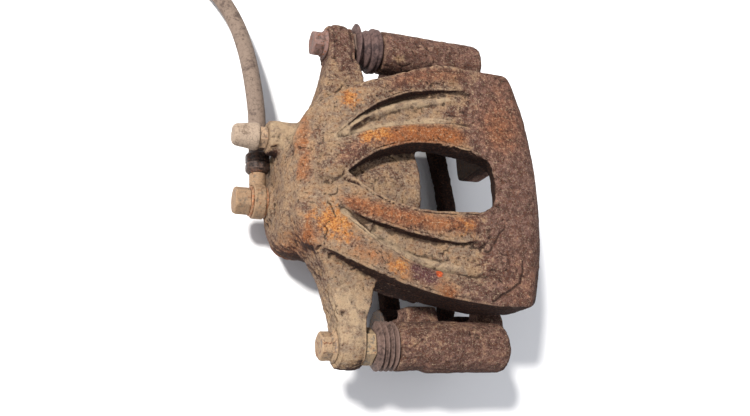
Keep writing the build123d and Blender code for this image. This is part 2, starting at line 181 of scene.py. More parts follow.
def remeshed(node, voxel):
    """Even mesh of small quads over a CAD node, as a new mesh. Voxel size in mm."""
    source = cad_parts[node]
    mesh = source.data.copy()
    bm = bmesh.new()
    bm.from_mesh(mesh)
    bmesh.ops.remove_doubles(bm, verts=bm.verts, dist=1e-6)
    bm.to_mesh(mesh)
    bm.free()
    piece = link(node + "_remesh", mesh)
    modifier = piece.modifiers.new("voxels", "REMESH")
    modifier.mode = "VOXEL"
    modifier.voxel_size = voxel * MM
    graph = bpy.context.evaluated_depsgraph_get()
    result = bpy.data.meshes.new_from_object(piece.evaluated_get(graph))
    bpy.data.objects.remove(piece)
    result.materials.clear()
    return result


def set_attribute(mesh, name, values):
    attribute = mesh.attributes.get(name) or mesh.attributes.new(name, "FLOAT", "POINT")
    attribute.data.foreach_set("value", np.asarray(values, np.float32))


def smooth_shading(mesh):
    mesh.polygons.foreach_set("use_smooth", np.ones(len(mesh.polygons), bool))


def keep_inside(co, node):
    """Hold points within a CAD node's own box."""
    low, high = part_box(node)
    return np.clip(co, np.array(low), np.array(high))


# --- camera, light and floor --------------------------------------------------
def make_camera():
    data = bpy.data.cameras.new("camera")
    data.lens = 35.99
    data.sensor_width = 36
    data.clip_start = 0.01
    camera = bpy.data.objects.new("camera", data)
    right, up, back = (0.9293, -0.0457, 0.3666), (-0.0708, 0.9519, 0.2980), (-0.3625, -0.3029, 0.8814)
    place = (-0.165963, -0.134215, 0.410044)
    camera.matrix_world = Matrix([(*axes, at) for *axes, at in zip(right, up, back, place)] + [(0, 0, 0, 1)])
    scene.collection.objects.link(camera)
    scene.camera = camera


def area_light(name, place, target, size, power, color):
    data = bpy.data.lights.new(name, "AREA")
    data.shape = "DISK"
    data.size = size
    data.energy = power
    data.color = color
    lamp = bpy.data.objects.new(name, data)
    lamp.location = place
    lamp.rotation_euler = (Vector(place) - Vector(target)).to_track_quat("Z", "Y").to_euler()
    scene.collection.objects.link(lamp)


def make_stage():
    """Pale floor, one soft key light from upper left and an even white surround."""
    mesh = bpy.data.meshes.new("floor")
    west, east, south, north, z = -0.38, 0.48, -0.34, 0.44, FLOOR_Z * MM - 0.0001
    corners = [(west, south, z), (east, south, z), (east, north, z), (west, north, z)]
    mesh.from_pydata(corners, [], [(0, 1, 2, 3)])
    floor = link("floor", mesh)
    material = bpy.data.materials.new("pale_floor")
    material.use_nodes = True
    shader = material.node_tree.nodes["Principled BSDF"]
    shader.inputs["Base Color"].default_value = (0.86, 0.86, 0.87, 1)
    shader.inputs["Roughness"].default_value = 0.6
    mesh.materials.append(material)
    area_light("key", (-0.73, 0.23, 1.2), (0, 0, 0.03), 0.16, 34, (1, 0.975, 0.94))
    area_light("fill", (0.5, -0.9, 1.1), (0, 0, 0.03), 1.2, 5, (0.92, 0.95, 1))
    world = bpy.data.worlds.new("surround")
    scene.world = world
    world.use_nodes = True
    background = world.node_tree.nodes["Background"]
    background.inputs["Color"].default_value = (0.93, 0.95, 1, 1)
    background.inputs["Strength"].default_value = 0.55
    scene.view_settings.view_transform = "Standard"


make_camera()
make_stage()


# --- materials ----------------------------------------------------------------
MAUVE = (0.138, 0.074, 0.060)
MAUVE_DARK = (0.062, 0.031, 0.025)
MAUVE_LIGHT = (0.225, 0.137, 0.112)
DUST = (0.285, 0.188, 0.108)
DUST_GREY = (0.225, 0.163, 0.115)
DUST_PALE = (0.45, 0.335, 0.215)
ORANGE = (0.31, 0.096, 0.028)
ORANGE_BROWN = (0.185, 0.062, 0.022)
YELLOW = (0.46, 0.205, 0.040)
BROWN = (0.095, 0.034, 0.016)
DARK = (0.016, 0.008, 0.006)
# Near-black colour of painted shade.
PAINTED_SHADE_DARK = (0.018, 0.011, 0.010)
PURPLE = (0.070, 0.028, 0.034)
RED_ORANGE = (0.45, 0.065, 0.014)


class Graph:
    """Short calls for the shader nodes that the materials are made of."""

    def __init__(self, name):
        self.material = bpy.data.materials.new(name)
        self.material.use_nodes = True
        self.tree = self.material.node_tree
        self.shader = self.tree.nodes["Principled BSDF"]
        self.place = self.tree.nodes.new("ShaderNodeTexCoord").outputs["Object"]

    def put(self, socket, value):
        if isinstance(value, bpy.types.NodeSocket):
            self.tree.links.new(value, socket)
        elif isinstance(value, tuple) and len(value) == 3 and socket.type == "RGBA":
            socket.default_value = (*value, 1)
        else:
            socket.default_value = value

    def stretched(self, x, y, z):
        """Object coordinates squeezed along the axes, for grain with a direction."""
        node = self.tree.nodes.new("ShaderNodeMapping")
        node.inputs["Scale"].default_value = (x, y, z)
        self.put(node.inputs["Vector"], self.place)
        return node.outputs[0]

    def noise(self, size, detail=4.0, rough=0.55, warp=0.0, place=None):
        """Noise from 0 to 1 with features of the given size in mm."""
        node = self.tree.nodes.new("ShaderNodeTexNoise")
        node.inputs["Scale"].default_value = 1 / (size * MM)
        node.inputs["Detail"].default_value = detail
        node.inputs["Roughness"].default_value = rough
        node.inputs["Distortion"].default_value = warp
        self.put(node.inputs["Vector"], place or self.place)
        return node.outputs["Fac"]

    def cell_edges(self, size):
        """Distance to the nearest border between scattered cells of the given size in mm."""
        node = self.tree.nodes.new("ShaderNodeTexVoronoi")
        node.feature = "DISTANCE_TO_EDGE"
        node.inputs["Scale"].default_value = 1 / (size * MM)
        self.put(node.inputs["Vector"], self.place)
        return node.outputs["Distance"]

    def attribute(self, name):
        node = self.tree.nodes.new("ShaderNodeAttribute")
        node.attribute_name = name
        return node.outputs["Fac"]

    def math(self, operation, a, b=0.0):
        node = self.tree.nodes.new("ShaderNodeMath")
        node.operation = operation
        self.put(node.inputs[0], a)
        self.put(node.inputs[1], b)
        return node.outputs[0]

    def scaled(self, value, factor):
        return self.math("MULTIPLY", value, factor)

    def step(self, value, low, high, out_low=0.0, out_high=1.0):
        node = self.tree.nodes.new("ShaderNodeMapRange")
        node.interpolation_type = "SMOOTHSTEP"
        for socket, number in zip(node.inputs[1:5], (low, high, out_low, out_high)):
            socket.default_value = number
        self.put(node.inputs["Value"], value)
        return node.outputs[0]

    def mix(self, amount, a, b):
        node = self.tree.nodes.new("ShaderNodeMix")
        node.data_type = "RGBA"
        self.put(node.inputs[0], amount)
        self.put(node.inputs[6], a)
        self.put(node.inputs[7], b)
        return node.outputs[2]

    def cover(self, amount, noise, soft=0.09, gain=2.4):
        """Patchy mask that covers about the given amount, 0 to 1, of the surface."""
        spread = self.math("MULTIPLY", self.math("SUBTRACT", noise, 0.5), gain)
        return self.step(self.math("ADD", amount, spread), 0.5 - soft, 0.5 + soft)

    def bump(self, height, depth, normal=None):
        """Small relief of the given depth in mm, over an earlier normal if there is one."""
        node = self.tree.nodes.new("ShaderNodeBump")
        node.inputs["Distance"].default_value = depth * MM
        node.inputs["Strength"].default_value = 1.0
        self.put(node.inputs["Height"], height)
        if normal:
            self.put(node.inputs["Normal"], normal)
        return node.outputs[0]

    def done(self, color, roughness, normal=None, metallic=0.0, specular=0.3):
        self.put(self.shader.inputs["Base Color"], color)
        self.put(self.shader.inputs["Roughness"], roughness)
        self.put(self.shader.inputs["Metallic"], metallic)
        self.shader.inputs["Specular IOR Level"].default_value = specular
        if normal:
            self.put(self.shader.inputs["Normal"], normal)
        return self.material


def rusty_iron(name):
    """Weathered cast iron. The mesh's attributes say which colour lies where."""
    g = Graph(name)
    broad = g.noise(24, 3, 0.55)
    medium = g.noise(6.0, 6, 0.68)
    patches = g.noise(3.0, 6, 0.74)
    grain = g.noise(1.15, 5, 0.75)
    speck = g.noise(0.55, 3, 0.75)
    streaks = g.noise(2.0, 5, 0.74, 0.1, g.stretched(0.5, 1.2, 1.0))
    color = g.mix(g.step(medium, 0.38, 0.62), MAUVE_DARK, MAUVE)
    color = g.mix(g.scaled(g.step(patches, 0.48, 0.68), 0.7), color, MAUVE_LIGHT)
    color = g.mix(g.scaled(g.step(streaks, 0.50, 0.68), 0.5), color, BROWN)
    # The dust attribute is thinned on faces turned from the key light, so this dust also paints light and
    # shade.
    dust_and_light_amount = g.math("ADD", g.attribute("dust"), g.scaled(g.math("SUBTRACT", broad, 0.5), 0.6))
    dusty = g.mix(g.step(medium, 0.40, 0.60), DUST_GREY, DUST)
    dusty = g.mix(g.scaled(g.step(streaks, 0.50, 0.66), 0.45), dusty, ORANGE_BROWN)
    fine = g.math("ADD", g.scaled(medium, 0.45), g.scaled(grain, 0.55))
    color = g.mix(g.scaled(g.cover(dust_and_light_amount, fine, 0.22), 0.86), color, dusty)
    rust = g.mix(g.step(patches, 0.40, 0.62), ORANGE_BROWN, ORANGE)
    rust = g.mix(g.scaled(g.step(grain, 0.52, 0.68), 0.6), rust, DUST)
    rust = g.mix(g.scaled(g.step(streaks, 0.52, 0.68), 0.75), rust, BROWN)
    color = g.mix(g.scaled(g.cover(g.attribute("orange"), fine, 0.42, 2.2), 0.92), color, rust)
    ochre = g.mix(g.step(grain, 0.42, 0.62), ORANGE, YELLOW)
    color = g.mix(g.scaled(g.cover(g.attribute("yellow"), patches, 0.30), 0.9), color, ochre)
    plum = g.mix(g.step(grain, 0.46, 0.60), PURPLE, MAUVE)
    color = g.mix(g.cover(g.attribute("purple"), patches, 0.25, 2.0), color, plum)
    color = g.mix(g.cover(g.attribute("spot"), grain, 0.2, 1.2), color, RED_ORANGE)
    color = g.mix(g.scaled(g.step(grain, 0.54, 0.68), 0.6), color, DUST_PALE)
    color = g.mix(g.scaled(g.step(grain, 0.475, 0.36), 0.9), color, BROWN)
    pits = g.noise(1.7, 3, 0.6)
    color = g.mix(g.scaled(g.step(pits, 0.40, 0.33), 0.75), color, DARK)
    hollow = g.attribute("hollow")
    color = g.mix(g.scaled(g.step(hollow, 0.15, 0.8), 0.8), color, DARK)
    convex = g.math("MULTIPLY", g.step(hollow, -0.3, -1.0), g.step(patches, 0.42, 0.6))
    color = g.mix(g.scaled(convex, 0.16), color, DUST_PALE)
    thick = g.math("MULTIPLY", g.step(g.attribute("dust"), 0.80, 1.0), g.step(medium, 0.36, 0.56))
    color = g.mix(g.scaled(thick, 0.55), color, DUST_PALE)
    # Painted shade: this mask darkens the colour to near black and thins the pale specks below.
    painted_shade = g.cover(g.attribute("painted_shade"), medium, 0.35, 1.6)
    color = g.mix(g.scaled(painted_shade, 0.93), color, g.mix(g.step(grain, 0.45, 0.7), PAINTED_SHADE_DARK, BROWN))
    speckled = g.math("SUBTRACT", 0.6, g.scaled(painted_shade, 0.5))
    color = g.mix(g.scaled(g.step(speck, 0.58, 0.72), speckled), color, DUST_PALE)
    color = g.mix(g.scaled(g.step(speck, 0.42, 0.28), 0.85), color, DARK)
    bare = g.mix(g.step(g.noise(2.0, 4, 0.6), 0.45, 0.62), (0.19, 0.165, 0.15), (0.30, 0.20, 0.14))
    machined = g.step(g.attribute("machined"), 0.55, 0.95)
    color = g.mix(machined, color, bare)
    height = g.math("ADD", g.scaled(patches, 0.55), g.scaled(grain, 0.45))
    normal = g.bump(height, 1.3)
    normal = g.bump(speck, 0.42, normal)
    rough = g.step(machined, 0.0, 1.0, 0.95, 0.5)
    return g.done(color, rough, normal, g.scaled(machined, 0.75), 0.15)


def worn_steel(name, base, dust, dust_cover, rust_cover, metallic=0.55, roughness=0.5):
    """Small steel part: dull metal under dust and rust, brighter on its edges."""
    g = Graph(name)
    patches = g.noise(3.0, 5, 0.65, 0.5)
    grain = g.noise(0.8, 4, 0.7)
    streaks = g.noise(1.1, 4, 0.6, 0.0, g.stretched(1.0, 0.35, 0.35))
    dark = tuple(c * 0.55 for c in base)
    color = g.mix(g.step(streaks, 0.40, 0.62), dark, base)
    rusted = g.mix(g.step(grain, 0.42, 0.60), BROWN, ORANGE_BROWN)
    rust_mask = g.cover(rust_cover, patches, 0.12)
    color = g.mix(rust_mask, color, rusted)
    pale = tuple(min(c * 1.3, 0.9) for c in dust)
    dusty = g.mix(g.step(grain, 0.44, 0.64), dust, pale)
    dust_mask = g.cover(dust_cover, g.noise(2.1, 5, 0.68, 0.6), 0.15)
    color = g.mix(g.math("MULTIPLY", dust_mask, 0.92), color, dusty)
    hollow = g.attribute("hollow")
    color = g.mix(g.math("MULTIPLY", g.step(hollow, 0.2, 0.9), 0.6), color, DARK)
    color = g.mix(g.math("MULTIPLY", g.step(hollow, -0.3, -0.9), 0.45), color, pale)
    covered = g.math("MAXIMUM", rust_mask, dust_mask)
    normal = g.bump(grain, 0.22)
    normal = g.bump(patches, 0.35, normal)
    metal = g.step(covered, 0.0, 1.0, metallic, 0.0)
    return g.done(color, g.step(covered, 0.0, 1.0, roughness, 0.9), normal, metal, 0.35)


def dusty_rubber(name, base, dust, dust_cover, grain_size=1.4):
    """Old rubber with hairline cracks, and dust in broad patches and fine specks."""
    g = Graph(name)
    patches = g.noise(7.0, 5, 0.62, 0.4)
    grain = g.noise(grain_size, 4, 0.68)
    specks = g.noise(0.5, 3, 0.6)
    color = g.mix(g.step(grain, 0.40, 0.62), tuple(c * 0.7 for c in base), base)
    mottled = g.math("ADD", g.scaled(patches, 0.6), g.scaled(grain, 0.4))
    mask = g.cover(dust_cover, mottled, 0.2)
    color = g.mix(g.math("MULTIPLY", mask, 0.85), color, dust)
    pale = tuple(min(c * 1.35, 0.9) for c in dust)
    color = g.mix(g.math("MULTIPLY", g.step(specks, 0.60, 0.72), 0.5), color, pale)
    color = g.mix(g.math("MULTIPLY", g.step(specks, 0.40, 0.30), 0.45), color, tuple(c * 0.4 for c in base))
    cracks = g.step(g.cell_edges(2.6), 0.05, 0.0)
    cracks = g.math("MULTIPLY", cracks, g.step(patches, 0.50, 0.62))
    color = g.mix(g.math("MULTIPLY", cracks, 0.6), color, DARK)
    normal = g.bump(grain, 0.28)
    normal = g.bump(g.math("SUBTRACT", 1.0, cracks), 0.15, normal)
    return g.done(color, RUBBER_ROUGHNESS, normal)


def ground_steel(name, base, roughness):
    """Machined steel with fine turning marks and faint brown staining."""
    g = Graph(name)
    marks = g.noise(0.35, 3, 0.6, 0.0, g.stretched(1.0, 0.12, 0.12))
    stain = g.noise(6.0, 5, 0.6, 0.5)
    color = g.mix(g.step(marks, 0.35, 0.65), tuple(c * 0.78 for c in base), base)
    color = g.mix(g.math("MULTIPLY", g.cover(0.42, stain, 0.15), 0.65), color, (0.22, 0.12, 0.07))
    rough = g.math("ADD", roughness, g.math("MULTIPLY", stain, 0.3))
    return g.done(color, rough, g.bump(marks, 0.05), 0.9, 0.5)


# --- relief -------------------------------------------------------------------
def line_distance(p, points):
    """Distance in plan from points p to a chain of straight lines."""
    best = np.full(len(p), 1e9)
    for (ax, ay), (bx, by) in zip(points, points[1:]):
        dx, dy = bx - ax, by - ay
        t = np.clip(((p[:, 0] - ax) * dx + (p[:, 1] - ay) * dy) / (dx * dx + dy * dy), 0, 1)
        best = np.minimum(best, np.hypot(p[:, 0] - ax - t * dx, p[:, 1] - ay - t * dy))
    return best


def near_line(p, points, width):
    return np.exp(-((line_distance(p, points) / width) ** 2))


def blob(p, x, y, radius):
    return np.exp(-((p[:, 0] - x) ** 2 + (p[:, 1] - y) ** 2) / radius**2)


def ring_mark(p, x, y, radius, width):
    d = np.hypot(p[:, 0] - x, p[:, 1] - y) - radius
    return 1 - smoothstep(np.abs(d), width * 0.5, width)


def bar_mark(p, x, y, length, breadth, angle):
    c, s = math.cos(angle), math.sin(angle)
    along = np.abs((p[:, 0] - x) * c + (p[:, 1] - y) * s) - length / 2
    across = np.abs((p[:, 1] - y) * c - (p[:, 0] - x) * s) - breadth / 2
    return 1 - smoothstep(np.maximum(along, across), -0.5, 0.5)


def rust_relief(p, seed, lumps=1.0, crust=1.0):
    """Height in mm of weathered cast iron: lumps, crust with sharp edges, cracks and pits."""
    warp = np.stack([value_noise(p, 6.0, seed + 30 + k) for k in range(3)], 1)
    squeezed = p * (0.55, 1.0, 1.0)
    height = lumps * (0.45 * fractal(p, 15.0, 3, seed) + 0.22 * fractal(squeezed, 3.8, 3, seed + 5, 0.6))
    flake = fractal(squeezed + 0.8 * warp, 9.0, 4, seed + 11, 0.62)
    height += crust * 0.30 * smoothstep(flake, 0.06, 0.13)
    height += crust * 0.24 * smoothstep(flake, 0.28, 0.34)
    first, second = cell_noise(p * (0.6, 1.0, 1.0) + 2.2 * warp, 13.0, seed + 9)
    where = smoothstep(fractal(p, 13.0, 3, seed + 13), 0.12, 0.36)
    height -= crust * 0.7 * where * (1 - smoothstep(second - first, 0.008, 0.05))
    height -= 0.30 * smoothstep(value_noise(p, 2.0, seed + 15), 0.50, 0.9)
    height += 0.16 * value_noise(squeezed, 1.55, seed + 17)
    return height


def bore_mask(p, y, z, x0, x1, r, reach=0.9):
    """Vertices on a machined bore along X, and each vertex's distance from its axis."""
    d = np.hypot(p[:, 1] - y, p[:, 2] - z)
    return (p[:, 0] > x0) & (p[:, 0] < x1) & (np.abs(d - r) < reach), d


def size_bore(p, y, z, x0, x1, r, target):
    """Bring a bore to an exact radius."""
    mask, d = bore_mask(p, y, z, x0, x1, r)
    scale = target / np.maximum(d[mask], 1e-6)
    p[mask, 1] = y + (p[mask, 1] - y) * scale
    p[mask, 2] = z + (p[mask, 2] - z) * scale


def curvature(p, normals, edges, rounds):
    """Positive in hollows and negative on edges, about -1 to 1."""
    values = np.einsum("ij,ij->i", neighbour_mean(p, edges) - p, normals)
    for _ in range(rounds):
        values = 0.4 * values + 0.6 * neighbour_mean(values, edges)
    return np.clip(values / (2.2 * values.std() + 1e-9), -1, 1)


def soften(p, edges, rounds, mask):
    for _ in range(rounds):
        p += 0.5 * mask[:, None] * (neighbour_mean(p, edges) - p)
    return p


def finish_piece(mesh, name, body, slot, material, *nodes):
    """Turn a finished mesh into a piece for CAD nodes. A blended piece is given no body."""
    smooth_shading(mesh)
    mesh.name = name
    mesh.materials.append(material)
    piece = link(name, mesh)
    if body:
        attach(piece, body)
    if nodes:
        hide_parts(*nodes)
    return piece


# --- caliper housing ----------------------------------------------------------
RIDGES = [
    [(-51, 29.5), (-36, 41), (-21.5, 49.7), (-6, 56), (10, 61), (30, 63.5)],
    [(-59, -3), (-48, 5), (-31, 16), (-9, 22.6), (14, 25), (28, 24)],
    [(-49, -15), (-32, -20), (-12, -24), (10, -26), (26, -25)],
    [(-48, -31), (-35, -42), (-19, -49.5), (-2, -55), (10.5, -59.5), (28, -63)],
]
THIN_RIBS = [
    [(-46, 19), (-38, 27), (-30, 32.5), (-18, 38), (-6, 43), (8, 46.3), (25, 48.5)],
    [(-44, -21.5), (-36, -29), (-26, -35.5), (-15.7, -40.6), (-5, -44.4), (12, -48), (31, -50)],
]
RIDGE_FOOT = [(-38, 21), (-27, 26.5), (-12, 30.8), (6, 34.2), (22, 35)]
CREASE = [(35.3, -66.5), (43.5, -61.1), (51.9, -55.6), (53.7, -49.6), (55, -43)]


def dashes(p, x, y, angle, gap):
    """Raised foundry marks in a row: dots and bars only."""
    c, s = math.cos(angle), math.sin(angle)
    marks = np.zeros(len(p))
    for i, length in enumerate((0.0, 3.6, 0.0, 0.0, 3.6)):
        at_x, at_y = x + gap * i * c, y + gap * i * s
        if length:
            marks += bar_mark(p, at_x, at_y, length, 1.5, angle + 1.3)
        else:
            marks += 1 - smoothstep(np.hypot(p[:, 0] - at_x, p[:, 1] - at_y), 0.9, 1.7)
    return np.clip(marks, 0, 1)


def housing_relief(p, normals, seed):
    """Height in mm of everything cast or rusted on the housing."""
    x, y, z = p.T
    uneven = np.stack([value_noise(p, 7.0, seed + 60 + k) for k in range(3)], 1)
    loose = p + 0.9 * uneven
    top = smoothstep(normals[:, 2], 0.25, 0.7) * smoothstep(z, 60, 68)
    crest = np.max([near_line(loose, line, 4.4) for line in RIDGES], axis=0)
    inboard = 1 - smoothstep(x, 24, 42)
    high = top * smoothstep(z, 73.5, 76)
    height = -1.9 * high * inboard * (1 - crest)
    height -= 0.35 * smoothstep(normals[:, 2], 0.25, 0.7) * smoothstep(z, 60, 66) * (1 - inboard)
    height -= 3.4 * top * np.exp(-((line_distance(p, [(-52, -4), (-38, -1)]) / 4.2) ** 2)) * (x < -30)
    floor = top * (1 - smoothstep(z, 73.2, 75.5)) * smoothstep(z, 69, 70.5)
    ends = smoothstep(x, -46, -36) * (1 - smoothstep(x, 14, 27))
    ribs = np.max([near_line(loose, line, 1.7) for line in THIN_RIBS], axis=0) * ends
    height += (1.5 + 0.5 * value_noise(p, 5.0, seed + 70)) * top * ribs
    height -= 0.6 * floor * (1 - ribs) * (1 - smoothstep(x, 0, 12))
    around_pin = np.abs(y) > 70
    rim = (1 - np.abs(normals[:, 0])) * smoothstep(np.abs(x + 37), 2.5, 7.5) * around_pin * (x < -26)
    height -= rim * np.where(y > 0, 2.6, 1.3)
    height += 2.6 * blob(p, 14, 66, 17) * smoothstep(normals[:, 1], 0.2, 0.8) * smoothstep(z, 58, 66)
    cylinder_top = smoothstep(z, 62, 64) * (1 - smoothstep(z, 68, 70))
    cylinder_top = cylinder_top * (np.abs(y) < 16) * (np.abs(x + 20) < 22)
    height += 0.75 * cylinder_top * dashes(p, -29.5, 0.6, -0.12, 4.9)
    height += 0.75 * floor * dashes(p, 6.0, -41.4, 0.02, 5.4)
    d = line_distance(p + 1.4 * uneven, CREASE) + 0.35 * value_noise(p, 2.2, seed + 75)
    plate = smoothstep(z, 66, 70) * smoothstep(normals[:, 2], 0.0, 0.4)
    height -= 0.9 * plate * (1 - smoothstep(d, 0.1, 0.9))
    height -= 0.5 * plate * (1 - smoothstep(np.hypot(x - 56, y - 60.5), 3.0, 4.6))
    low_left = blob(p, -60, -36, 14) + blob(p, -66, 20, 12)
    height += 0.9 * low_left * fractal(p, 6.5, 3, seed + 40)
    rough = 1.0 - 0.45 * smoothstep(x, 36, 52)
    return height + rough * rust_relief(p, seed)


def faces_key_light(n):
    """How much a surface faces the key light, from 0 to 1. Dust and painted shade are laid by it, which
    paints light and shade into the colour.
    """
    return smoothstep(-0.52 * n[:, 0] + 0.12 * n[:, 1] + 0.84 * n[:, 2], 0.02, 0.62)


def make_housing(material):
    mesh = remeshed("caliper_housing", CASTING_VOXEL)
    p = coordinates(mesh) / MM
    edges = neighbours(mesh)
    size_bore(p, 0, CYL_Z, *CYLINDER_SPAN, BORE_R, BORE_R)
    bore, _ = bore_mask(p, 0, CYL_Z, *MACHINED_SPAN, BORE_R, 5.5)
    cast = 1.0 - bore
    for side in (1, -1):
        ear, _ = bore_mask(p, side * PIN_Y, PIN_Z, *EAR_SPAN, 4.3, 1.2)
        cast[ear] = 0
    pads = (np.abs(p[:, 0] - 60.3) < 1.2) & (p[:, 2] < 48)
    cast[pads] *= 0.25
    cast = neighbour_mean(neighbour_mean(cast, edges), edges)
    p = soften(p, edges, 16, cast)
    set_coordinates(mesh, p * MM)
    n = vertex_normals(mesh)
    p += (cast * housing_relief(p, n, HOUSING_SEED))[:, None] * n
    size_bore(p, 0, CYL_Z, -54, 4.5, BORE_R, BORE_R + 0.12)
    p = keep_inside(p * MM, "caliper_housing") / MM
    set_coordinates(mesh, p * MM)
    paint_housing(mesh, p, cast, edges)
    finish_piece(mesh, "housing_casting", "housing", "housing_iron", material, "caliper_housing")


def paint_housing(mesh, p, cast, edges):
    """Where the colours lie: each value is how much of a spot the colour takes."""
    x, y, z = p.T
    n = vertex_normals(mesh)
    up = smoothstep(n[:, 2], 0.0, 0.6)
    key_lit_side = faces_key_light(n)
    high = smoothstep(z, 71, 76) * up
    inboard = 1 - smoothstep(x, 24, 44)
    crest = [near_line(p, line, 6.0) * inboard * high for line in RIDGES]
    outer = smoothstep(x, -28, -8)
    fading = 1 - smoothstep(x, 14, 34)
    orange = 0.42 * crest[0] * outer + (0.85 * smoothstep(x, -30, -12) + 0.30) * crest[1] * fading
    orange += 0.68 * crest[2] + 0.50 * crest[3] * (1 - smoothstep(x, 4, 22))
    patchy = smoothstep(fractal(p, 9.0, 3, 140), -0.18, 0.22)
    band = smoothstep(x + 3 * fractal(p, 6.0, 2, 141), -69, -65) * (1 - smoothstep(x, -62, -56))
    orange += 0.62 * band * smoothstep(z, 58, 63) * patchy
    rusty_spots = 0.7 * blob(p, 9.5, -63.6, 4) * up + 0.55 * blob(p, -62, -33, 10)
    orange += rusty_spots + 0.24 * up * smoothstep(x, 30, 50)
    orange += 0.35 * blob(p, 45, 30, 16) * up - 0.35 * blob(p, 62, -10, 30)
    yellow = 0.9 * blob(p, -40, 40.8, 5.4) + 0.75 * blob(p, -31, 19.8, 5) + 0.75 * blob(p, -22, 22, 5)
    yellow += 0.65 * blob(p, -52, -24, 8) + 0.6 * blob(p, -46, -32, 7)
    yellow += 0.7 * blob(p, -17, -49, 6) + 0.4 * blob(p, 22, -27, 6) + 0.35 * blob(p, -6, 26, 4)
    purple = 0.95 * blob(p, -7, -51, 6.0) + 0.8 * blob(p, 0, -54.5, 5) + 0.4 * blob(p, 34, 60, 14)
    rusty_crests = np.clip(crest[0] * outer + crest[1] + crest[2], 0, 1)
    dust = 0.66 + 0.16 * fractal(p, 12.0, 3, 150) - 0.52 * smoothstep(x, 20, 46) - 0.30 * rusty_crests
    dust -= 0.22 * blob(p, -42, 80, 26) + 0.25 * blob(p, -38, 90, 14) + 0.25 * crest[3] * smoothstep(x, 2, 14)
    dust += 0.4 * blob(p, -40, -76, 26) + 0.4 * blob(p, -70, BLEED_Y, 12)
    valley = up * smoothstep(z, 68, 70) * (1 - smoothstep(z, 73, 75)) * (x < 40) * (x > -52)
    dust += 0.10 * valley - 0.25 * valley * smoothstep(y, 0, 6) * smoothstep(x, 0, 24)
    ribs = np.max([near_line(p, line, 1.8) for line in [*THIN_RIBS, RIDGE_FOOT]], axis=0)
    dust += 0.6 * ribs * up * (z > 69) * (1 - smoothstep(x, 10, 30))
    # Dust thins on faces turned from the key light: real dust on the tops, painted shade on the faces away
    # from the light.
    dust = dust * (0.25 + 0.75 * key_lit_side)
    # Painted shade: faces turned from the key light, the downward faces under the bridge and the inboard
    # middle are darkened; outboard faces and low inboard parts are kept clearer.
    under = smoothstep(x, 2, 8) * (1 - smoothstep(x, 58, 66)) * (1 - up) * (np.abs(y) < 66) * (z < 77)
    shaded = 1 - key_lit_side
    above_or_bridge = (z > 20) | (x > 2) & (x < 66)
    painted_shade = 0.80 * shaded * above_or_bridge + 0.4 * under
    painted_shade += 0.35 * shaded * (x < 0) * (np.abs(y) < 50)
    painted_shade -= 0.75 * smoothstep(x, 66, 72) * (n[:, 0] > 0) + 0.55 * (z < 20) * (x < 0)
    set_attribute(mesh, "orange", np.clip(orange, 0, 1))
    set_attribute(mesh, "yellow", np.clip(yellow * up, 0, 1))
    set_attribute(mesh, "purple", np.clip(purple * up, 0, 1))
    set_attribute(mesh, "dust", np.clip(dust, 0, 1))
    set_attribute(mesh, "spot", np.clip(blob(p, 5, -52.1, 2.3) * up, 0, 1))
    set_attribute(mesh, "painted_shade", np.clip(painted_shade, 0, 1))
    set_attribute(mesh, "hollow", curvature(p, n, edges, 2))
    set_attribute(mesh, "machined", 1 - cast)


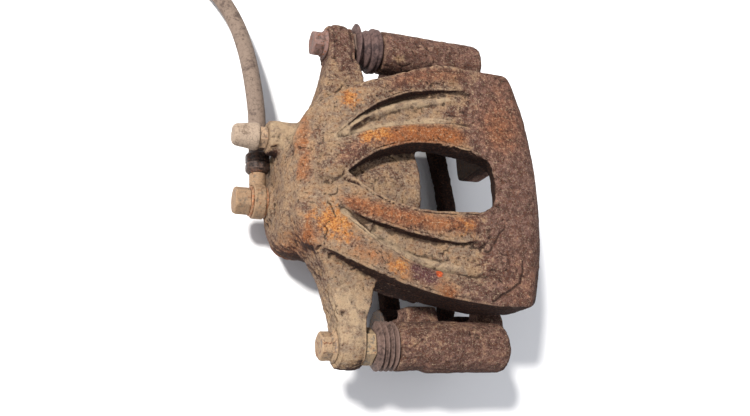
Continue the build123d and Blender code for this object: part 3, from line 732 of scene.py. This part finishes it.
# --- carrier ------------------------------------------------------------------
def make_carrier(material):
    mesh = remeshed("carrier_bracket", CASTING_VOXEL)
    p = coordinates(mesh) / MM
    edges = neighbours(mesh)
    cast = np.ones(len(p))
    for side in (1, -1):
        size_bore(p, side * PIN_Y, PIN_Z, *TUBE_SPAN, PIN_BORE_R, PIN_BORE_R + 0.2)
        bore, _ = bore_mask(p, side * PIN_Y, PIN_Z, -13, 53, PIN_BORE_R, 1.2)
        mouth, _ = bore_mask(p, side * PIN_Y, PIN_Z, -13, -7, 9.0, 1.0)
        lug, _ = bore_mask(p, side * LUG_Y, 0, -1, 19, 5.1, 1.2)
        cast[bore | mouth | lug] = 0
        face = (p[:, 0] < 0.5) & (np.hypot(p[:, 1] - side * LUG_Y, p[:, 2]) < 14)
        cast[face] = 0.05
    cast = neighbour_mean(cast, edges)
    p = soften(p, edges, 12, cast)
    set_coordinates(mesh, p * MM)
    n = vertex_normals(mesh)
    x, y, z = p.T
    height = rust_relief(p, CARRIER_SEED, 0.85, 0.75)
    top = smoothstep(n[:, 2], 0.3, 0.8) * smoothstep(z, 56, 59)
    marks = dashes(p, 12.0, 85.4, 0.02, 5.6) + ring_mark(p, 31.2, -81.8, 2.6, 1.1)
    marks += 0.7 * bar_mark(p, 15, -85.5, 9.0, 1.3, 0.05)
    height += 0.7 * top * np.clip(marks, 0, 1)
    slant = (x + 6.5) * 0.62 - (y + 88.7) * 0.78 + 1.2 * value_noise(p, 6.0, 91)
    step = smoothstep(slant, -1.0, 1.0) * (1 - smoothstep(slant, 3.0, 12.0))
    height += 0.6 * step * (y < -70) * smoothstep(z, 44, 50)
    p += (cast * height)[:, None] * n
    p = keep_inside(p * MM, "carrier_bracket") / MM
    set_coordinates(mesh, p * MM)
    n = vertex_normals(mesh)
    x, y, z = p.T
    key_lit_side = faces_key_light(n)
    near_mouth = 1 - smoothstep(x, -6, 12)
    dust = 0.20 + 0.10 * (y < 0) + 0.45 * (y > 0) * near_mouth * smoothstep(fractal(p, 7, 3, 5), 0.0, 0.3)
    # Dust thins on faces turned from the key light, which paints shade on the faces away from it.
    dust = dust * (0.3 + 0.7 * key_lit_side) * smoothstep(z, 30, 46)
    # Painted shade: faces turned from the key light, and darker towards the bottom, where the tie bar and
    # legs lie in shade.
    painted_shade = 0.55 * (1 - key_lit_side) * smoothstep(z, 30, 50)
    painted_shade += 0.85 * (1 - smoothstep(z, 8, 34)) * (np.abs(y) < 76)
    painted_shade += 0.30 * (1 - smoothstep(z, 8, 40))
    for name, value in (("orange", 0.12), ("yellow", 0.0), ("purple", 0.12), ("spot", 0.0)):
        set_attribute(mesh, name, np.full(len(p), value))
    set_attribute(mesh, "dust", np.clip(dust, 0, 1))
    set_attribute(mesh, "painted_shade", np.clip(painted_shade, 0, 1))
    set_attribute(mesh, "hollow", curvature(p, n, edges, 2))
    set_attribute(mesh, "machined", 1 - cast)
    finish_piece(mesh, "carrier_casting", "carrier", "carrier_iron", material, "carrier_bracket")


# --- small parts --------------------------------------------------------------
def worn_piece(node, body, slot, material, voxel=0.34, rounds=3, wear=0.10, shape=None):
    """Detailed stand-in for a small CAD part: soft edges, slight wear and a hollow map."""
    mesh = remeshed(node, voxel)
    p = coordinates(mesh) / MM
    edges = neighbours(mesh)
    p = soften(p, edges, rounds, np.ones(len(p)))
    if shape:
        p = shape(p)
    set_coordinates(mesh, p * MM)
    n = vertex_normals(mesh)
    seed = sum(map(ord, node))
    height = wear * (fractal(p, 3.2, 3, seed) + 0.7 * fractal(p, 1.2, 2, seed + 3))
    p += height[:, None] * n
    set_coordinates(mesh, keep_inside(p * MM, node))
    n = vertex_normals(mesh)
    set_attribute(mesh, "hollow", curvature(coordinates(mesh) / MM, n, edges, 1))
    return finish_piece(mesh, node + "_detail", body, slot, material, node)


def lathe(profile, y, z, segments, wobble=0.0, seed=0):
    """Closed ring mesh turned about X from (x, radius) points given in order."""
    angles = np.linspace(0, 2 * math.pi, segments, endpoint=False)
    rows = [(x, y + r * np.cos(angles), z + r * np.sin(angles)) for x, r in profile]
    p = np.concatenate([np.stack([np.full(segments, x), ys, zs], 1) for x, ys, zs in rows])
    if wobble:
        p += wobble * np.stack([value_noise(p, 7.0, seed + k) for k in range(3)], 1)
    faces = []
    for i in range(len(profile)):
        a, b = i * segments, (i + 1) % len(profile) * segments
        for k in range(segments):
            m = (k + 1) % segments
            faces.append((a + k, a + m, b + m, b + k))
    mesh = bpy.data.meshes.new("ring")
    mesh.from_pydata([tuple(v) for v in p * MM], [], faces)
    return mesh


def outward(mesh):
    bm = bmesh.new()
    bm.from_mesh(mesh)
    bmesh.ops.recalc_face_normals(bm, faces=bm.faces)
    bm.to_mesh(mesh)
    bm.free()


def wave(x0, x1, count, low, high):
    """(x, radius) points of rounded bellows from x0 to x1."""
    points = []
    steps = count * STEPS_PER_FOLD
    for i in range(steps + 1):
        t = i / steps
        ripple = 0.5 - 0.5 * math.cos(2 * math.pi * count * t)
        points.append((x0 + (x1 - x0) * t, low + (high - low) * ripple**0.75))
    return points


def make_pin_boot(side, material):
    """Bellows: small end held on the pin's neck, wide end in the guide tube's mouth."""
    y = side * PIN_Y
    start, end = -22.6, TUBE_MOUTH_X + 0.2
    outer = [(-23.55, 8.2), (-23.5, 9.3), (-23.0, 9.6), (-22.6, 9.5)]
    if side > 0:
        outer += [(-21.9, 11.0), (-21.0, 11.6), (-20.0, 11.5), (-19.4, 10.4), (-18.9, 10.2), (-18.3, 11.6)]
        outer += [(-17.4, 12.8), (-16.4, 13.1), (-15.6, 12.7), (-15.2, 12.2), (-14.6, 12.8), (-13.6, 12.7)]
        outer += [(-12.7, 11.6), (-12.1, 10.0), (end, 9.7)]
    else:
        outer += wave(start, end, 4, 9.7, 12.7)[1:]
    outer += [(end + 0.5, 9.6), (end + 0.9, 8.9), (-8.4, 8.8), (-8.3, 8.0)]
    if side > 0:
        inner = [(x, max(r - 1.5, 8.0)) for x, r in outer[4:-4]][::-1]
    else:
        inner = [(x, r - 1.5) for x, r in wave(start + 0.4, end, 4, 9.3, 12.1)][::-1]
    profile = outer + inner + [(-22.8, 7.75), (-23.5, 7.7)]
    mesh = lathe(profile, y, PIN_Z, 96, 0.30, 11 + side)
    outward(mesh)
    name = "boot_upper" if side > 0 else "boot_lower"
    node = "guide_pin_" + name
    piece = finish_piece(mesh, name + "_bellows", None, "boot_rubber", material, node)
    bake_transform(piece)


def make_boot_flange(material):
    """Thin flared lip behind the upper boot's neck."""
    profile = [(-28.0, 7.9), (-27.9, 10.8), (-27.4, 13.0), (-26.9, 14.3), (-26.6, 14.2), (-26.1, 11.4)]
    profile += [(-24.6, 9.9), (-23.7, 9.6), (-23.7, 7.9)]
    mesh = lathe(profile, PIN_Y, PIN_Z, 72, 0.35, 5)
    outward(mesh)
    finish_piece(mesh, "boot_upper_lip", "housing", "boot_rubber", material)


def make_piston_boot(material):
    """Folded dust boot between the cylinder's mouth and the piston's groove."""
    r = 32.9
    outer = [(3.35, 26.7), (3.55, 28.2), (3.1, 29.0), (1.4, 29.1), (0.0, 29.3), (-0.5, 29.9), (0.2, 30.5)]
    outer += [(1.3, 30.7), (1.55, 31.3), (1.55, r), (-2.8, r)]
    inner = [(-2.85, 29.6), (-1.6, 28.75), (0.6, 28.65), (1.2, 28.4), (1.3, 26.75)]
    mesh = lathe(outer + inner, 0, CYL_Z, 128)
    outward(mesh)
    piece = finish_piece(mesh, "piston_boot_bellows", None, "boot_rubber", material, "piston_dust_boot")
    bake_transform(piece)


def crimped(p):
    """Eight flats pressed round the middle of the hose ferrule."""
    x, y, z = p.T
    angle = np.arctan2(z - BANJO_Z, x - HOSE_X)
    r = np.hypot(x - HOSE_X, z - BANJO_Z)
    grip = smoothstep(y, 14.5, 16.0) * (1 - smoothstep(y, 22.5, 24.0)) * (r > 5.0)
    ring = 0.35 * np.exp(-(((y - 19.3) / 0.5) ** 2)) * (r > 5.0)
    scale = 1 - grip * 0.05 * (0.5 + 0.5 * np.cos(8 * angle)) - ring / np.maximum(r, 1)
    return np.stack([HOSE_X + (x - HOSE_X) * scale, y, BANJO_Z + (z - BANJO_Z) * scale], 1)


def dress(node, material):
    """Give a CAD node that stays its finished material."""
    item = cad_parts[node]
    for place in item.material_slots:
        place.material = material


make_housing(rusty_iron("rusty_cast_iron"))
make_carrier(rusty_iron("rusty_carrier_iron"))

boot_rubber = dusty_rubber("boot_rubber", (0.046, 0.027, 0.026), (0.125, 0.075, 0.066), 0.55)
make_pin_boot(1, boot_rubber)
make_pin_boot(-1, dusty_rubber("boot_rubber_lower", (0.052, 0.032, 0.028), (0.165, 0.105, 0.085), 0.6))
make_boot_flange(boot_rubber)
make_piston_boot(dusty_rubber("piston_boot_rubber", (0.022, 0.018, 0.017), (0.09, 0.06, 0.045), 0.3))

bolt_steel = {
    "upper": worn_steel("bolt_steel_upper", (0.15, 0.105, 0.09), (0.17, 0.10, 0.085), 0.55, 0.45),
    "lower": worn_steel("bolt_steel_lower", (0.18, 0.13, 0.10), (0.26, 0.175, 0.105), 0.62, 0.40),
}
pin_steel = {
    "upper": worn_steel("pin_collar_upper", (0.11, 0.085, 0.075), (0.12, 0.08, 0.062), 0.62, 0.30),
    "lower": worn_steel("pin_collar_lower", (0.19, 0.155, 0.12), (0.26, 0.18, 0.105), 0.62, 0.35),
}
for end in ("upper", "lower"):
    worn_piece("guide_bolt_" + end, "housing", "bolt_steel", bolt_steel[end])
    worn_piece("guide_pin_" + end, "housing", "pin_steel", pin_steel[end], 0.42, 1, 0.02)

fitting_steel = worn_steel("fitting_steel", (0.20, 0.145, 0.10), (0.235, 0.150, 0.088), 0.66, 0.35)
bleed_steel = worn_steel("bleed_steel", (0.22, 0.165, 0.12), (0.30, 0.20, 0.125), 0.60, 0.30)
copper = worn_steel("old_copper", (0.42, 0.17, 0.08), (0.24, 0.15, 0.09), 0.45, 0.25, 0.8, 0.42)
banjo_eye = worn_piece("banjo_fitting", "housing", "fitting_steel", fitting_steel, 0.36, 4)
worn_piece("banjo_bolt", "housing", "fitting_steel", fitting_steel, 0.40, 2)
for end in ("inner", "outer"):
    worn_piece("banjo_washer_" + end, "housing", "copper", copper, 0.30, 1, 0.04)
worn_piece("bleed_screw", "bleed_screw", "fitting_steel", bleed_steel, 0.30, 2, 0.05)
cap_rubber = dusty_rubber("cap_rubber", (0.18, 0.125, 0.088), (0.33, 0.25, 0.185), 0.62, 1.0)
worn_piece("bleed_screw_cap", "bleed_cap", "cap_rubber", cap_rubber, 0.34, 5, 0.16)
ferrule_steel = worn_steel("ferrule_steel", (0.035, 0.024, 0.020), (0.075, 0.045, 0.034),
                           0.42, 0.25, 0.4, 0.45)
crimp = worn_piece("hose_ferrule", "housing", "ferrule_steel", ferrule_steel, 0.36, 3, 0.08, crimped)
end_steel = worn_steel("hose_end_steel", (0.28, 0.24, 0.19), (0.24, 0.165, 0.11), 0.45, 0.35)
end_ferrule = worn_piece("hose_end_ferrule", "housing", "ferrule_steel", end_steel, 0.42, 3, 0.08)
end_fitting = worn_piece("hose_end_fitting", "housing", "fitting_steel", end_steel, 0.38, 2, 0.06)

dress("piston", ground_steel("piston_steel", (0.60, 0.59, 0.57), 0.25))
dress("dust_boot_ring", ground_steel("ring_steel", (0.42, 0.37, 0.32), 0.4))
dress("piston_seal", dusty_rubber("seal_rubber", (0.03, 0.03, 0.03), (0.06, 0.05, 0.045), 0.3))
dress("guide_pin_bush", dusty_rubber("bush_rubber", (0.03, 0.03, 0.03), (0.06, 0.05, 0.045), 0.3))


# --- brake hose ---------------------------------------------------------------
HOSE_ROUTE = [
    (-76.75, 26.0, 23.5), (-76.75, 45.0, 23.5), (-77.9, 64.0, 20.6), (-79.4, 83.0, 15.5),
    (-81.8, 102.0, 9.3), (-86.2, 121.0, 3.2), (-94.6, 139.4, -1.8), (-107.6, 155.4, -5.4),
    (-124.8, 167.4, -7.4), (-145.5, 174.5, -7.8), (-166.5, 176.5, -7.4), (-187.0, 172.5, -5.9),
    (-205.5, 163.0, -5.9),
]


def make_hose():
    curve = bpy.data.curves.new("brake_hose_tube", "CURVE")
    curve.dimensions = "3D"
    spline = curve.splines.new("NURBS")
    spline.points.add(len(HOSE_ROUTE) - 1)
    for point, place in zip(spline.points, HOSE_ROUTE):
        point.co = (*(c * MM for c in place), 1)
        # The points carry the radius, which keeps the curve's bounding box close to the tube.
        point.radius = HOSE_D / 2 * MM
    spline.order_u = 3
    spline.use_endpoint_u = True
    spline.resolution_u = 16
    curve.bevel_depth = 1.0
    curve.bevel_resolution = 8
    curve.use_fill_caps = True
    hose = link("brake_hose_tube", curve)
    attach(hose, "housing")
    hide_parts("brake_hose")
    rubber = dusty_rubber("hose_rubber", (0.100, 0.068, 0.054), (0.205, 0.150, 0.115), 0.62, 1.8)
    curve.materials.append(rubber)
    return hose


hose = make_hose()
